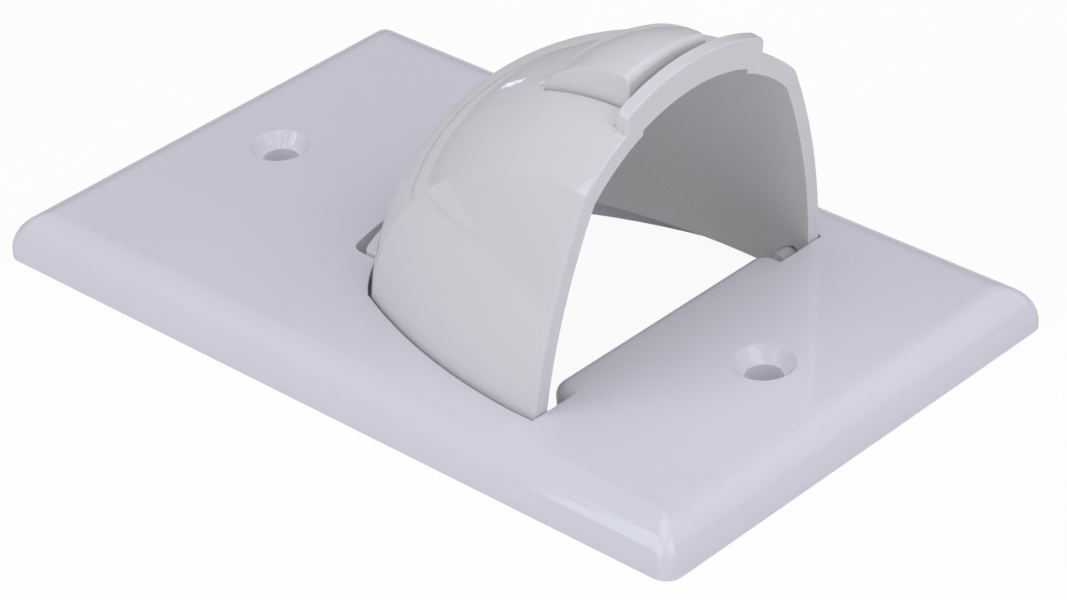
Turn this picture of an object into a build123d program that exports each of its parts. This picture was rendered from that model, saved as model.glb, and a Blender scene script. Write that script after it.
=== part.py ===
"""Bulk cable wall plate: a one-gang plate and the reversible hood that turns on its two stub pins.

Millimetres. Z = 0 is the wall side of the plate and +Z points into the room. +Y runs up the
wall, X runs across it, and the origin is the middle of the plate's wall side.
The hood is drawn in a frame of its own, with the hinge line as X, its rim on the -Y side and
its other edge on the -Z side, and is then leaned and moved to the hinge.
"""
from build123d import *
import math
import os

# Plate
PLATE_HEIGHT = 114.3
PLATE_WIDTH = 69.85
PLATE_DEPTH = 6.0
ROLL_RADIUS = 5.25
PLAN_CORNER = 2.2
FACE_SKIN = 2.4
EDGE_WALL = 2.6
COLLAR_WALL = 2.0
CAVITY_CORNER = 2.0

# Screw holes
SCREW_SPACING = 83.34
SCREW_HOLE = 4.7
SCREW_HEAD = 8.0
SCREW_HEAD_ANGLE = 82.0
BOSS_WALL = 2.2

# Hinge
HINGE_Y = -25.3
EAR_RADIUS = 2.9
LEAN = 6.5
PIN_RADIUS = 1.2
PIN_CLEARANCE = 0.08
PIN_PROUD = 2.0
PIN_CHAMFER = 0.4
LEAD_IN_RADIUS = 1.9
LEAD_IN_DEPTH = 0.9

# Hood section, across the hinge line and out from it
HOOD_HALF_WIDTH = 26.05
SHOULDER_HALF_WIDTH = 18.6
SIDE_RADIUS = 85.0
CROWN_RADIUS = 25.1
CROWN_CENTRE = 14.7
SHOULDER_ROUND = 1.2
CROWN_WALL = 2.4
SIDE_WALL = 2.15
DOME_LINE = -4.3

# Rim band
BAND_HALF_WIDTH = 12.0
BAND_RISE = 2.1
BAND_THICKNESS = 1.9
BAND_CORNER = 1.0

# Snap tab behind the band
TAB_LEFT = 9.0
TAB_RIGHT = 4.5
TAB_GROOVE = 0.8
TAB_LENGTH = 12.4
TAB_AXIS_Y = -0.4
TAB_AXIS_Z = 25.2
TAB_RADIUS = 17.6
TAB_CROWN = 22.0
TAB_FRONT_ROUND = 0.9
SLIT_WIDTH = 0.5
RECESS_DEPTH = 0.6
RECESS_HALF_WIDTH = 9.2

# Fit of the hood in the plate
SIDE_GAP = 0.25
SWING_GAP = 0.2
FRONT_GAP = 0.15
POCKET_CORNER = 2.0

# Tongue on the opening's front edge
TONGUE_HALF_WIDTH = 19.7
TONGUE_REACH = 4.1
TONGUE_CORNER = 2.5
TONGUE_ROUND = 1.8

# Small rounds on the moulded edges, and the tolerance for picking edges out
EDGE_ROUND = 0.3
OPENING_ROUND = 0.15
SINK_ROUND = 0.25
NEAR = 0.01

# Places worked out from the sizes
HINGE_Z = PLATE_DEPTH - EAR_RADIUS
FAR = 2 * (CROWN_CENTRE + CROWN_RADIUS)
FRONT_Y = HINGE_Y - EAR_RADIUS * (1 + math.sin(math.radians(LEAN))) / math.cos(math.radians(LEAN)) - FRONT_GAP
TAB_MIDDLE = (TAB_RIGHT - TAB_LEFT) / 2
TAB_FRONT = BAND_THICKNESS + TAB_GROOVE - EAR_RADIUS
TAB_BACK = TAB_FRONT + TAB_LENGTH


def side_centre():
    """Centre of the right-hand side arc, from its lower end, its shoulder end and its radius."""
    shoulder = CROWN_CENTRE + math.sqrt(CROWN_RADIUS ** 2 - SHOULDER_HALF_WIDTH ** 2)
    dx = SHOULDER_HALF_WIDTH - HOOD_HALF_WIDTH
    dr = shoulder - EAR_RADIUS
    half = math.hypot(dx, dr) / 2
    reach = math.sqrt(SIDE_RADIUS ** 2 - half ** 2) / (2 * half)
    middle_x = (HOOD_HALF_WIDTH + SHOULDER_HALF_WIDTH) / 2
    middle_r = (EAR_RADIUS + shoulder) / 2
    return middle_x - dr * reach, middle_r + dx * reach


def hood_section(crown_grow, side_grow, foot):
    """Hood outline in X and height over the hinge line, from its foot up, its arcs grown or shrunk."""
    centre_x, centre_r = side_centre()
    crown = Pos(0, CROWN_CENTRE) * Circle(CROWN_RADIUS + crown_grow)
    below = Pos(0, (CROWN_CENTRE + foot) / 2) * Rectangle(FAR, CROWN_CENTRE - foot)
    right = Pos(centre_x, centre_r) * Circle(SIDE_RADIUS + side_grow)
    left = Pos(-centre_x, centre_r) * Circle(SIDE_RADIUS + side_grow)
    above_foot = Pos(0, foot + FAR / 2) * Rectangle(FAR, FAR)
    section = (crown + below) & right & left & above_foot
    shoulders = section.vertices().sort_by(Axis.Y)[-2:]
    return fillet(shoulders, SHOULDER_ROUND + max(crown_grow, 0))


def turned_dome(section):
    """A section turned about the dome's line, which lies outside the corner between the two edges."""
    dome = revolve(Pos(0, -DOME_LINE) * section, Axis.X, 360)
    return Pos(0, DOME_LINE, DOME_LINE) * dome


def arc_block(centre_x, centre_r, radius, left, right):
    """Upper part of a disc between two X limits, clear of the line it is turned about."""
    floor = max(centre_r, PIN_RADIUS)
    strip = Pos((left + right) / 2, floor + radius / 2) * Rectangle(right - left, radius)
    return (Pos(centre_x, centre_r) * Circle(radius)) & strip


def band_section(grow):
    """Outline of the raised band across the crown."""
    half = BAND_HALF_WIDTH + grow
    block = arc_block(0, CROWN_CENTRE, CROWN_RADIUS + BAND_RISE + grow, -half, half)
    corners = block.vertices().sort_by(Axis.Y)[-2:]
    return fillet(corners, BAND_CORNER)


def hood_quadrant():
    """Everything between the two edge planes, which are tangent to the ears."""
    span = FAR + EAR_RADIUS
    block = Pos(span / 2 - EAR_RADIUS, span / 2 - EAR_RADIUS) * Rectangle(span, span)
    corner = block.vertices().sort_by(lambda v: v.X + v.Y)[0]
    return extrude(Plane.YZ * fillet(corner, EAR_RADIUS), FAR, both=True)


def slab(low, high):
    """A thick sheet above the hinge line, between two Y values."""
    return Pos(0, (low + high) / 2, FAR / 2) * Box(FAR, high - low, FAR)


def lies_across(edge, axis, place):
    """True if an edge lies in the plane at one place along an axis."""
    box = edge.bounding_box()
    low = getattr(box.min, axis)
    high = getattr(box.max, axis)
    return abs(low - place) < NEAR and abs(high - place) < NEAR


def hood_blank():
    """The hood's outer form, solid, with a small round all along its edge."""
    blank = turned_dome(hood_section(0, 0, DOME_LINE)) & hood_quadrant()
    rim = [e for e in blank.edges() if lies_across(e, "Y", -EAR_RADIUS) and e.bounding_box().size.Z > NEAR]
    return fillet(rim, EDGE_ROUND)


def rim_band():
    """The band at the rim, as a plate of one thickness with rounded edges."""
    rim_plane = Plane(origin=(0, -EAR_RADIUS, 0), x_dir=(1, 0, 0), z_dir=(0, -1, 0))
    band = extrude(rim_plane * band_section(0), -BAND_THICKNESS)
    outer = [e for e in band.edges() if e.bounding_box().size.Y < NEAR and (e @ 0.5).Z > CROWN_CENTRE + NEAR]
    return fillet(outer, EDGE_ROUND)


def snap_tab():
    """Barrel-shaped ramp that rises from the dome towards the band."""
    profile = arc_block(TAB_MIDDLE, TAB_RADIUS - TAB_CROWN, TAB_CROWN, -TAB_LEFT, TAB_RIGHT)
    barrel = revolve(profile, Axis.X, 360)
    tab = Pos(0, TAB_AXIS_Y, TAB_AXIS_Z) * barrel & slab(TAB_FRONT, TAB_BACK + 3 * SLIT_WIDTH)
    front = tab.edges().filter_by(lambda e: lies_across(e, "Y", TAB_FRONT)).sort_by(Axis.Z)[-1]
    tab = fillet(front, TAB_FRONT_ROUND)
    upper = [e for e in tab.edges() if e.bounding_box().size.Y > NEAR and (e @ 0.5).Z > TAB_AXIS_Z]
    sides = [e for e in upper if lies_across(e, "X", -TAB_LEFT) or lies_across(e, "X", TAB_RIGHT)]
    return fillet(sides, EDGE_ROUND)


def tab_slot():
    """Slit that frees the tab at its front and along both sides."""
    front = Pos(TAB_MIDDLE, TAB_FRONT - TAB_GROOVE / 2, FAR / 2)
    slot = front * Box(TAB_LEFT + TAB_RIGHT + 2 * SLIT_WIDTH, TAB_GROOVE, FAR)
    for x in (-TAB_LEFT - SLIT_WIDTH / 2, TAB_RIGHT + SLIT_WIDTH / 2):
        slot += Pos(x, (TAB_FRONT + TAB_BACK) / 2, FAR / 2) * Box(SLIT_WIDTH, TAB_LENGTH, FAR)
        slot += Pos(x, TAB_BACK, FAR / 2) * Cylinder(SLIT_WIDTH / 2, FAR)
    return slot


def rim_recess():
    """Shallow step inside the crown, under the band and the tab."""
    radius = CROWN_RADIUS - CROWN_WALL + RECESS_DEPTH
    profile = arc_block(0, CROWN_CENTRE, radius, -RECESS_HALF_WIDTH, RECESS_HALF_WIDTH)
    return turned_dome(profile) & slab(-2 * EAR_RADIUS, TAB_BACK)


def at_both_edges(shape):
    """A feature of the rim, and its copy at the other edge, half a turn about the bisector."""
    bisector = Axis((0, 0, 0), (0, 1, 1))
    return shape + shape.rotate(bisector, 180)


def ear_bores():
    """Bore for the pins through both ears, opened into a cone on the inner side."""
    inner = HOOD_HALF_WIDTH - SIDE_WALL
    bore_radius = PIN_RADIUS + PIN_CLEARANCE
    bores = Rot(0, 90, 0) * Cylinder(bore_radius, FAR)
    for side in (-1, 1):
        cone = Cone(bore_radius, LEAD_IN_RADIUS, LEAD_IN_DEPTH)
        middle = inner + LEAD_IN_DEPTH / 2
        bores += Pos(side * middle, 0, 0) * Rot(0, -90 * side, 0) * cone
    return bores


def cable_hood():
    """The hood at rest in the plate, turned out of the wall."""
    cavity = turned_dome(hood_section(-CROWN_WALL, -SIDE_WALL, DOME_LINE))
    shell = hood_blank() + at_both_edges(rim_band()) + at_both_edges(snap_tab()) & hood_quadrant()
    shell = shell - cavity - at_both_edges(rim_recess()) - at_both_edges(tab_slot()) - ear_bores()
    return Pos(0, HINGE_Y, HINGE_Z) * Rot(LEAN, 0, 0) * shell


def rolled_bar(length, half_width):
    """A bar along X whose two upper long edges are rolled over in a quarter circle."""
    section = Pos(0, PLATE_DEPTH / 2) * Rectangle(2 * half_width, PLATE_DEPTH)
    section = fillet(section.vertices().sort_by(Axis.Y)[-2:], ROLL_RADIUS)
    return extrude(Plane.YZ * section, length / 2, both=True)


def on_mitre(edge):
    """True for an edge where two sides of the plate meet at a corner."""
    middle = edge @ 0.5
    return abs((PLATE_WIDTH / 2 - abs(middle.X)) - (PLATE_HEIGHT / 2 - abs(middle.Y))) < NEAR


def plate_blank():
    """Plate with its rolled edge and rounded plan corners."""
    along = rolled_bar(PLATE_WIDTH, PLATE_HEIGHT / 2)
    across = Rot(0, 0, 90) * rolled_bar(PLATE_HEIGHT, PLATE_WIDTH / 2)
    blank = along & across
    return fillet(blank.edges().filter_by(on_mitre), PLAN_CORNER)


def pocket_section(grow):
    """Notch in the opening's back edge that the band and the tabs pass through."""
    crest = TAB_AXIS_Z + math.sqrt(TAB_RADIUS ** 2 - TAB_AXIS_Y ** 2) + SWING_GAP
    fall = TAB_CROWN - math.sqrt(TAB_CROWN ** 2 - (TAB_LEFT + TAB_MIDDLE) ** 2)
    radius = (TAB_LEFT ** 2 + fall ** 2) / (2 * fall)
    half = BAND_HALF_WIDTH + SIDE_GAP + grow
    block = arc_block(0, crest - radius, radius + grow, -half, half)
    corners = block.vertices().sort_by(Axis.Y)[-2:]
    block = fillet(corners, POCKET_CORNER + grow)
    return block & (Pos(0, CROWN_CENTRE + FAR / 2) * Rectangle(FAR, FAR))


def opening_section(grow):
    """Plan of the opening, grown by one amount: the hood with its gap, the pocket, less the tongue."""
    hood = hood_section(SIDE_GAP + grow, SIDE_GAP + grow, 0)
    half = hood.bounding_box().max.X
    front = FRONT_Y - HINGE_Y - grow
    opening = hood + pocket_section(grow) + Pos(0, front / 2) * Rectangle(2 * half, -front)
    tip = FRONT_Y - HINGE_Y + TONGUE_REACH - grow
    corner = TONGUE_CORNER - grow
    length = tip - front + corner
    tongue = RectangleRounded(2 * (TONGUE_HALF_WIDTH - grow), length, corner)
    return Pos(0, HINGE_Y) * (opening - Pos(0, tip - length / 2) * tongue)


def screw_places():
    """The two screw holes, on the plate's long middle line."""
    return [Pos(0, side * SCREW_SPACING / 2, 0) for side in (-1, 1)]


def screw_cut():
    """Through hole with its countersink, for one screw."""
    sink = (SCREW_HEAD - SCREW_HOLE) / 2 / math.tan(math.radians(SCREW_HEAD_ANGLE / 2))
    hole = Pos(0, 0, PLATE_DEPTH / 2) * Cylinder(SCREW_HOLE / 2, PLATE_DEPTH)
    return hole + Pos(0, 0, PLATE_DEPTH - sink / 2) * Cone(SCREW_HOLE / 2, SCREW_HEAD / 2, sink)


def stub_pins():
    """The two pins that stand in from the opening's sides."""
    wall = opening_section(0).bounding_box().max.X
    tip = HOOD_HALF_WIDTH - SIDE_WALL - PIN_PROUD
    length = wall + COLLAR_WALL / 2 - tip
    pins = []
    for side in (-1, 1):
        pin = Cylinder(PIN_RADIUS, length)
        pin = chamfer(pin.edges().sort_by(Axis.Z)[-1], PIN_CHAMFER)
        pin = Pos(side * (tip + length / 2), HINGE_Y, HINGE_Z) * Rot(0, -90 * side, 0) * pin
        pins.append(pin)
    return pins


def opened(plate):
    """The plate with its opening: the tongue's edge rolled over, the rest of the edge just broken."""
    plate = plate - extrude(opening_section(0), PLATE_DEPTH)
    tip = FRONT_Y + TONGUE_REACH
    edges = [e for e in plate.edges() if lies_across(e, "Z", PLATE_DEPTH) and not on_outline(e)]
    tongue = [e for e in edges if FRONT_Y + NEAR < (e @ 0.5).Y < tip + NEAR
              and abs((e @ 0.5).X) < TONGUE_HALF_WIDTH + NEAR]
    plate = fillet(tongue, TONGUE_ROUND)
    rest = [e for e in plate.edges() if lies_across(e, "Z", PLATE_DEPTH) and not on_outline(e)
            and (e @ 0.5).Y > tip + NEAR]
    return fillet(rest, OPENING_ROUND)


def on_outline(edge):
    """True for an edge at the foot of the plate's rolled edge."""
    middle = edge @ 0.5
    from_end = PLATE_HEIGHT / 2 - abs(middle.Y)
    from_side = PLATE_WIDTH / 2 - abs(middle.X)
    return min(from_end, from_side) < ROLL_RADIUS + NEAR


def wall_plate():
    """The plate: a thin face, a rolled edge, a collar round the opening and two screw bosses."""
    hollow_depth = PLATE_DEPTH - FACE_SKIN
    hollow = extrude(RectangleRounded(PLATE_WIDTH - 2 * EDGE_WALL, PLATE_HEIGHT - 2 * EDGE_WALL,
                                      CAVITY_CORNER), hollow_depth)
    hollow -= extrude(opening_section(COLLAR_WALL), hollow_depth)
    for place in screw_places():
        hollow -= place * Pos(0, 0, hollow_depth / 2) * Cylinder(SCREW_HOLE / 2 + BOSS_WALL, hollow_depth)
    plate = opened(plate_blank()) - hollow
    for place in screw_places():
        plate -= place * screw_cut()
    rims = [e for e in plate.edges().filter_by(GeomType.CIRCLE)
            if lies_across(e, "Z", PLATE_DEPTH) and abs(e.radius - SCREW_HEAD / 2) < NEAR]
    plate = fillet(rims, SINK_ROUND)
    for pin in stub_pins():
        plate += pin
    return plate


os.makedirs("parts", exist_ok=True)
export_step(wall_plate(), "parts/wall_plate.step")
export_step(cable_hood(), "parts/cable_hood.step")
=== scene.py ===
"""Looks of the bulk cable wall plate: two glossy mouldings on a white table in soft light.

Metres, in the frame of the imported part. The plate lies with its wall side on the table at Z = 0,
+Y runs up the wall, and the hood turns on its two pins along X.
"""
import math

import bpy
from mathutils import Matrix, Vector


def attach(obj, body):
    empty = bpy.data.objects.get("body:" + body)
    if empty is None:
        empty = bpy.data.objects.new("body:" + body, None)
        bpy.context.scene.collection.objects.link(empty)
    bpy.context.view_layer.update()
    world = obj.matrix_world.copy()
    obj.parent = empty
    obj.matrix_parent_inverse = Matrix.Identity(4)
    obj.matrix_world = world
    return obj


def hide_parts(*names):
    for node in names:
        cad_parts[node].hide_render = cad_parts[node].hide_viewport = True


# Camera, solved from the plate's outline and its screw holes: degrees, sensor and lens in mm
VIEW_AZIMUTH = 45.025
VIEW_ELEVATION = 32.155
VIEW_ROLL = -3.5
VIEW_DISTANCE = 0.5134
VIEW_TARGET = Vector((-0.000293, -0.003868, 0.0))
SENSOR_WIDTH = 36.0
LENS = 138.147
CLIP_START = 0.01
CLIP_END = 10.0

# Mouldings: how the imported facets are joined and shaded
JOIN_WITHIN = 1e-6
FLAT_WITHIN = math.radians(0.1)
SMOOTH_BELOW = math.radians(35)
LARGE_FACES_LEAD = 100

# Plastic: each moulding's colour, the faint tint that flows through it and where its patterns start
PLATE_WHITE = (0.83, 0.80, 0.85)
PLATE_FLOW = (0.82, 0.79, 0.835)
PLATE_START = (0.3, 0.1, 0.2)
HOOD_WHITE = (0.835, 0.80, 0.79)
HOOD_FLOW = (0.825, 0.79, 0.778)
HOOD_START = (0.7, 0.4, 0.1)

# Plastic: the patterns, and the part of each that is used
FLOW_PATTERN = {"Scale": 22.0, "Detail": 3.0, "Roughness": 0.5}
FLOW_USED = (0.35, 0.65)
WEAR_PATTERN = {"Scale": 180.0, "Detail": 6.0, "Roughness": 0.65}
WEAR_USED = (0.4, 0.7)
WEAR_ROUGHNESS = (0.035, 0.06)
SKIN_PATTERN = {"Scale": 70.0, "Detail": 2.0, "Roughness": 0.4}
SKIN_RIPPLE = {"Strength": 0.02, "Distance": 0.0003}
GLOSSY_PLASTIC = {"IOR": 1.5, "Subsurface_Weight": 0.08,
                  "Subsurface_Radius": (0.0012, 0.0011, 0.0010)}

# Marks on the hood's inner wall: a line whose direction is MARK_Z along Y and MARK_Y along Z, and a
# square outline, placed across and along that line
MARKED_SIDE = 0.01
MARKED_HEIGHT = 0.02
FACES_IN = -0.5
MARK_Y = 0.7686
MARK_Z = 0.6399
LINE_AT = -0.011612
LINE_HALF = 0.00006
LINE_SHARE = 0.8
SQUARE_ACROSS = -0.02154
SQUARE_ALONG = -0.01071
SQUARE_HALF_WIDTH = 0.00193
SQUARE_HALF_LENGTH = 0.0015
SQUARE_LINE = 0.03
SQUARE_SHARE = 0.4
MARK_COLOUR = (0.97, 0.96, 0.95)

# Table, and the patch of it that the plate's upper half keeps in the dark
TABLE_SIZE = 4.0
TABLE_WHITE = 0.95
BACKDROP_SHARE = 0.93
SHADED_HALF_WIDTH = 0.03
SHADED_FROM = 0.005
SHADED_TO = 0.05
SHADE_SOFTNESS = 0.004

# What the gloss mirrors, glowing from the table for glossy rays only as painted reflections: a
# bright board that widens to the right, dark from BOARD_LINE of its reach to its edge as a painted
# shadow line, a bright band past each of its long edges, and the dimmer room
BOARD_LEFT = -0.135
BOARD_RIGHT = 0.6
BOARD_DEPTH = 0.12
BOARD_SLOPE = 1.15
BOARD_LINE = 0.88
BAND_MIDDLE = 1.8
BAND_HALF = 0.8
MIRRORED_BOARD = 0.45
MIRRORED_BAND = 0.46
MIRRORED_ROOM = 0.07

# Lamps: name, place, width, height, watts and the point that the lamp faces
ROOM_LIGHT = (0.174, 0.18, 0.196)
LAMP_COLOUR = (0.965, 1.0, 1.09)
PLATE_MIDDLE = (0.0, 0.0, 0.01)
LAMPS = (
    ("top lamp", (0.05, -0.05, 0.75), 0.8, 0.6, 1.88, (0.05, -0.04, 0.01)),
    ("left lamp", (-0.6, 0.1, 0.35), 0.6, 0.4, 1.38, PLATE_MIDDLE),
    ("front lamp", (-0.1, -0.7, 0.5), 0.6, 0.5, 1.8, PLATE_MIDDLE),
    ("right lamp", (0.6, -0.35, 0.5), 0.9, 0.6, 0.78, PLATE_MIDDLE),
    ("camera lamp", (-0.32, -0.32, 0.78), 0.2, 0.3, 0.12, PLATE_MIDDLE),
    ("strip lamp", (0.386, 0.909, 0.156), 0.04, 0.11, 0.032, PLATE_MIDDLE),
    ("back lamp", (-0.565, 0.41, 0.62), 0.17, 0.16, 0.15, PLATE_MIDDLE),
)

# Sockets of the colour mixer, which has them for numbers and vectors too
MIXER_SHARE, MIXER_FIRST, MIXER_SECOND = 0, 6, 7
MIXER_COLOUR = 2


def select_only(piece):
    """Leaves one piece selected and active."""
    bpy.ops.object.select_all(action="DESELECT")
    piece.select_set(True)
    bpy.context.view_layer.objects.active = piece


def moulding(name, node, body, material):
    """A CAD node's moulding with its facets joined and its rounds shaded smooth."""
    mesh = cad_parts[node].data.copy()
    mesh.name = name
    piece = bpy.data.objects.new(name, mesh)
    bpy.context.scene.collection.objects.link(piece)
    select_only(piece)
    bpy.ops.object.mode_set(mode="EDIT")
    bpy.ops.mesh.select_all(action="SELECT")
    bpy.ops.mesh.remove_doubles(threshold=JOIN_WITHIN)
    bpy.ops.mesh.dissolve_limited(angle_limit=FLAT_WITHIN)
    bpy.ops.object.mode_set(mode="OBJECT")
    bpy.ops.object.shade_smooth_by_angle(angle=SMOOTH_BELOW, keep_sharp_edges=False)
    shading = piece.modifiers.new("Even shading", "WEIGHTED_NORMAL")
    shading.mode = "FACE_AREA"
    shading.weight = LARGE_FACES_LEAD
    shading.keep_sharp = True
    bpy.ops.object.modifier_apply(modifier=shading.name)
    mesh.materials.clear()
    mesh.materials.append(material)
    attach(piece, body)
    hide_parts(node)


class Shader:
    """The nodes of one material or of the world. Values are plain ones or other nodes' sockets."""

    def __init__(self, owner):
        owner.use_nodes = True
        self.tree = owner.node_tree
        self.tree.nodes.clear()

    def give(self, socket, value):
        """Sets a socket to a plain value, or links it to another node's socket."""
        if isinstance(value, bpy.types.NodeSocket):
            self.tree.links.new(value, socket)
        else:
            socket.default_value = value

    def add(self, kind, **values):
        """One node, with its settings and the values of its sockets by name."""
        node = self.tree.nodes.new(kind)
        for name, value in values.items():
            if hasattr(node, name):
                setattr(node, name, value)
            else:
                self.give(node.inputs[name.replace("_", " ")], value)
        return node

    def surface(self, kind, **values):
        """One node for a surface; gives its shader."""
        return self.add(kind, **values).outputs[0]

    def axes(self, vector):
        """The X, Y and Z of a vector."""
        return self.add("ShaderNodeSeparateXYZ", Vector=vector).outputs

    def pattern(self, place, values):
        """A noise pattern; gives its strength."""
        return self.add("ShaderNodeTexNoise", Vector=place, **values).outputs[0]

    def calc(self, operation, *values):
        """One calculation; gives its result."""
        node = self.add("ShaderNodeMath", operation=operation)
        for socket, value in zip(node.inputs, values):
            self.give(socket, value)
        return node.outputs["Value"]

    def spread(self, value, used, to=(0.0, 1.0)):
        """A value, mapped from the range that is used to another one."""
        node = self.add("ShaderNodeMapRange", Value=value, From_Min=used[0], From_Max=used[1],
                        To_Min=to[0], To_Max=to[1])
        return node.outputs["Result"]

    def mix_colours(self, share, first, second):
        """Two colours mixed by a share."""
        node = self.add("ShaderNodeMix", data_type="RGBA")
        self.give(node.inputs[MIXER_SHARE], share)
        self.give(node.inputs[MIXER_FIRST], first)
        self.give(node.inputs[MIXER_SECOND], second)
        return node.outputs[MIXER_COLOUR]

    def mix_surfaces(self, share, first, second):
        """Two shaders mixed by a share."""
        node = self.add("ShaderNodeMixShader")
        for socket, value in zip(node.inputs, (share, first, second)):
            self.give(socket, value)
        return node.outputs["Shader"]


def glossy_moulding(name, colour, flow_colour, start, marked=False):
    """Glossy moulded plastic: an even colour with faint flow, a skin that ripples slightly and
    light wear from handling. Where marked, it has the marks of the hood's inner wall."""
    material = bpy.data.materials.new(name)
    sh = Shader(material)
    place = sh.add("ShaderNodeTexCoord").outputs
    mapping = sh.add("ShaderNodeMapping", Vector=place["Object"], Location=start)
    spot = mapping.outputs["Vector"]

    flow = sh.spread(sh.pattern(spot, FLOW_PATTERN), FLOW_USED)
    tint = sh.mix_colours(flow, (*colour, 1.0), (*flow_colour, 1.0))
    if marked:
        tint = sh.mix_colours(wall_marks(sh, place), tint, (*MARK_COLOUR, 1.0))
    wear = sh.spread(sh.pattern(spot, WEAR_PATTERN), WEAR_USED, WEAR_ROUGHNESS)
    skin = sh.add("ShaderNodeBump", Height=sh.pattern(spot, SKIN_PATTERN), **SKIN_RIPPLE)
    plastic = sh.surface("ShaderNodeBsdfPrincipled", Base_Color=tint, Roughness=wear,
                         Normal=skin.outputs["Normal"], **GLOSSY_PLASTIC)
    sh.add("ShaderNodeOutputMaterial", Surface=plastic)
    return material


def wall_marks(sh, place):
    """Share of the marks on the inner wall: a fine line and a small square outline by the pin."""
    x, y, z = sh.axes(place["Object"])
    facing = sh.axes(place["Normal"])
    inner = sh.calc("MULTIPLY", sh.calc("GREATER_THAN", x, MARKED_SIDE),
                    sh.calc("LESS_THAN", facing["X"], FACES_IN))
    inner = sh.calc("MULTIPLY", inner, sh.calc("LESS_THAN", z, MARKED_HEIGHT))
    across = sh.calc("ADD", sh.calc("MULTIPLY", y, MARK_Y), sh.calc("MULTIPLY", z, -MARK_Z))
    along = sh.calc("ADD", sh.calc("MULTIPLY", y, MARK_Z), sh.calc("MULTIPLY", z, MARK_Y))
    line = sh.calc("COMPARE", across, LINE_AT, LINE_HALF)
    offsets = [
        sh.calc("DIVIDE", sh.calc("ABSOLUTE", sh.calc("SUBTRACT", value, middle)), half)
        for value, middle, half in ((across, SQUARE_ACROSS, SQUARE_HALF_WIDTH),
                                    (along, SQUARE_ALONG, SQUARE_HALF_LENGTH))]
    square = sh.calc("COMPARE", sh.calc("MAXIMUM", *offsets), 1.0, SQUARE_LINE)
    both = sh.calc("ADD", sh.calc("MULTIPLY", line, LINE_SHARE),
                   sh.calc("MULTIPLY", square, SQUARE_SHARE))
    return sh.calc("MULTIPLY", both, inner)


def table_white():
    """White table that keeps the object's shadow, glows for glossy rays only as a painted
    reflection of a bright board, and is seen from above only."""
    material = bpy.data.materials.new("white table")
    sh = Shader(material)
    rays = sh.add("ShaderNodeLightPath").outputs
    x, y, _ = sh.axes(sh.add("ShaderNodeTexCoord").outputs["Object"])
    lit = unshaded(sh, x, y)
    seen = sh.calc("MAXIMUM", rays["Is Camera Ray"], rays["Is Transmission Ray"])
    share = sh.calc("MULTIPLY", sh.calc("MULTIPLY", seen, lit), BACKDROP_SHARE)
    paint = sh.surface("ShaderNodeBsdfDiffuse", Color=(TABLE_WHITE, TABLE_WHITE, TABLE_WHITE, 1))
    backdrop = sh.surface("ShaderNodeEmission", Strength=1.0)
    # Seen by glossy rays, the table glows with painted reflections and goes dark on the shaded
    # patch as painted shade.
    mirrored = sh.surface("ShaderNodeEmission",
                          Strength=sh.calc("MULTIPLY", mirrored_board(sh, x, y), lit))
    shown = sh.mix_surfaces(share, paint, backdrop)
    table = sh.mix_surfaces(rays["Is Glossy Ray"], shown, mirrored)
    below = sh.add("ShaderNodeNewGeometry").outputs["Backfacing"]
    open_below = sh.mix_surfaces(below, table, sh.surface("ShaderNodeBsdfTransparent"))
    sh.add("ShaderNodeOutputMaterial", Surface=open_below)
    return material


def mirrored_board(sh, x, y):
    """Glow of the painted reflections that the gloss mirrors: the board, its dark edge as painted
    shadow, the bands and the room.
    """
    across = sh.calc("MAXIMUM", sh.calc("DIVIDE", x, BOARD_LEFT), sh.calc("DIVIDE", x, BOARD_RIGHT))
    depth = sh.calc("MAXIMUM", sh.calc("MULTIPLY_ADD", x, BOARD_SLOPE, BOARD_DEPTH), BOARD_DEPTH)
    along = sh.calc("DIVIDE", sh.calc("ABSOLUTE", y), depth)
    board = sh.calc("LESS_THAN", sh.calc("MAXIMUM", across, along), BOARD_LINE)
    band = sh.calc("MULTIPLY", sh.calc("LESS_THAN", across, 1.0),
                   sh.calc("COMPARE", along, BAND_MIDDLE, BAND_HALF))
    past = sh.calc("MULTIPLY_ADD", band, MIRRORED_BAND, MIRRORED_ROOM)
    return sh.calc("MULTIPLY_ADD", board, MIRRORED_BOARD, past)


def unshaded(sh, x, y):
    """One on the open table, none on the patch that the plate's upper half keeps in the dark."""
    ramp = sh.spread(y, (SHADED_FROM, SHADED_FROM + SHADE_SOFTNESS))
    within = sh.calc("MULTIPLY", sh.calc("COMPARE", x, 0.0, SHADED_HALF_WIDTH),
                     sh.calc("LESS_THAN", y, SHADED_TO))
    return sh.calc("SUBTRACT", 1.0, sh.calc("MULTIPLY", within, ramp))


def lay_table():
    """The table, one large flat sheet under the plate."""
    bpy.ops.mesh.primitive_plane_add(size=TABLE_SIZE, location=(0, 0, 0))
    table = bpy.context.object
    table.name = "table"
    table.data.materials.append(table_white())


def light_room():
    """World: white behind the object, a dimmer plain light on it."""
    world = bpy.data.worlds.new("white room")
    bpy.context.scene.world = world
    sh = Shader(world)
    seen = sh.add("ShaderNodeLightPath").outputs["Is Camera Ray"]
    room = sh.surface("ShaderNodeBackground", Color=(*ROOM_LIGHT, 1))
    white = sh.surface("ShaderNodeBackground", Color=(1, 1, 1, 1))
    sh.add("ShaderNodeOutputWorld", Surface=sh.mix_surfaces(seen, room, white))


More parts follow.
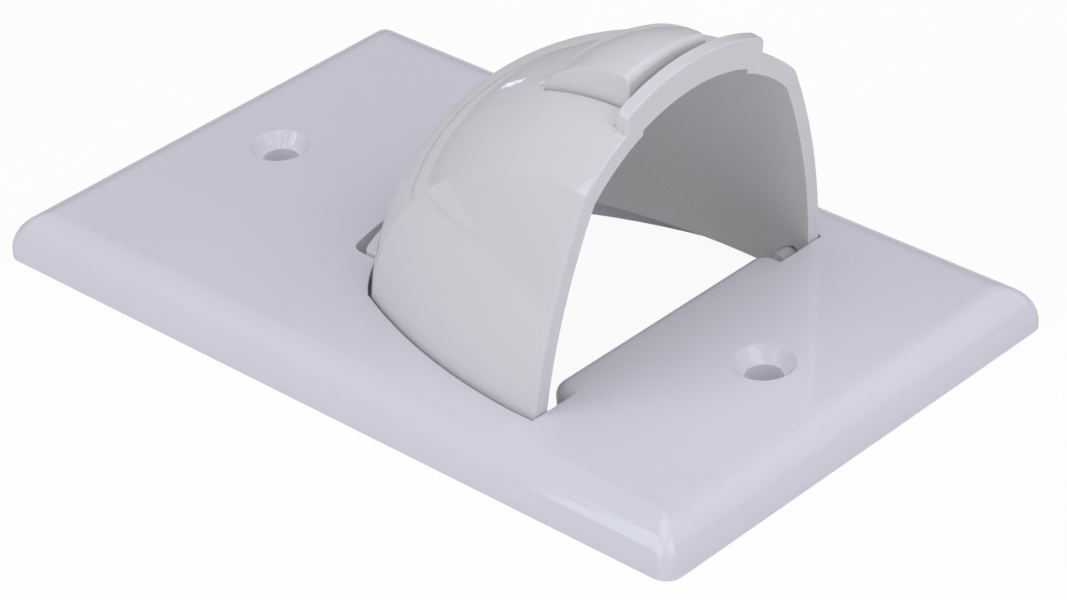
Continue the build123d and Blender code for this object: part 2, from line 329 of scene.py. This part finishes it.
def hang_lamp(name, place, width, height, watts, faced):
    """A flat soft lamp that faces a point."""
    lamp = bpy.data.lights.new(name, "AREA")
    lamp.shape = "RECTANGLE"
    lamp.size = width
    lamp.size_y = height
    lamp.energy = watts
    lamp.color = LAMP_COLOUR
    holder = bpy.data.objects.new(name, lamp)
    holder.location = place
    holder.rotation_euler = (Vector(faced) - Vector(place)).to_track_quat("-Z", "Y").to_euler()
    bpy.context.scene.collection.objects.link(holder)


def set_camera():
    """The photograph's own view."""
    azimuth, elevation, roll = (math.radians(a) for a in (VIEW_AZIMUTH, VIEW_ELEVATION, VIEW_ROLL))
    ahead = Vector((math.sin(azimuth) * math.cos(elevation),
                    math.cos(azimuth) * math.cos(elevation), -math.sin(elevation)))
    level = Vector((math.cos(azimuth), -math.sin(azimuth), 0))
    right = level * math.cos(roll) + level.cross(ahead) * math.sin(roll)
    lens = bpy.data.cameras.new("camera")
    lens.sensor_fit = "HORIZONTAL"
    lens.sensor_width = SENSOR_WIDTH
    lens.lens = LENS
    lens.clip_start = CLIP_START
    lens.clip_end = CLIP_END
    camera = bpy.data.objects.new("camera", lens)
    turned = Matrix((right, right.cross(ahead), -ahead)).transposed()
    camera.matrix_world = Matrix.Translation(VIEW_TARGET - ahead * VIEW_DISTANCE) @ turned.to_4x4()
    bpy.context.scene.collection.objects.link(camera)
    bpy.context.scene.camera = camera


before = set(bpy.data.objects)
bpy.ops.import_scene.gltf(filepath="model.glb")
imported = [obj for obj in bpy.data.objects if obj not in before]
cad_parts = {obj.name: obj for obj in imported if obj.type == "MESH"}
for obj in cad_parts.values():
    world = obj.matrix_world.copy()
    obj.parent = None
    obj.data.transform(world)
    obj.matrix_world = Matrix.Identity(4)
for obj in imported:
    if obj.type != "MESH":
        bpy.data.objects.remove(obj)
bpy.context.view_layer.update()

cool_white = glossy_moulding("cool white moulding", PLATE_WHITE, PLATE_FLOW, PLATE_START)
warm_white = glossy_moulding("warm white moulding", HOOD_WHITE, HOOD_FLOW, HOOD_START, marked=True)
moulding("plate", "wall_plate", "wall_plate", cool_white)
moulding("hood", "cable_hood", "cable_hood", warm_white)

bpy.context.scene.view_settings.view_transform = "Standard"
lay_table()
light_room()
for lamp_values in LAMPS:
    hang_lamp(*lamp_values)
set_camera()
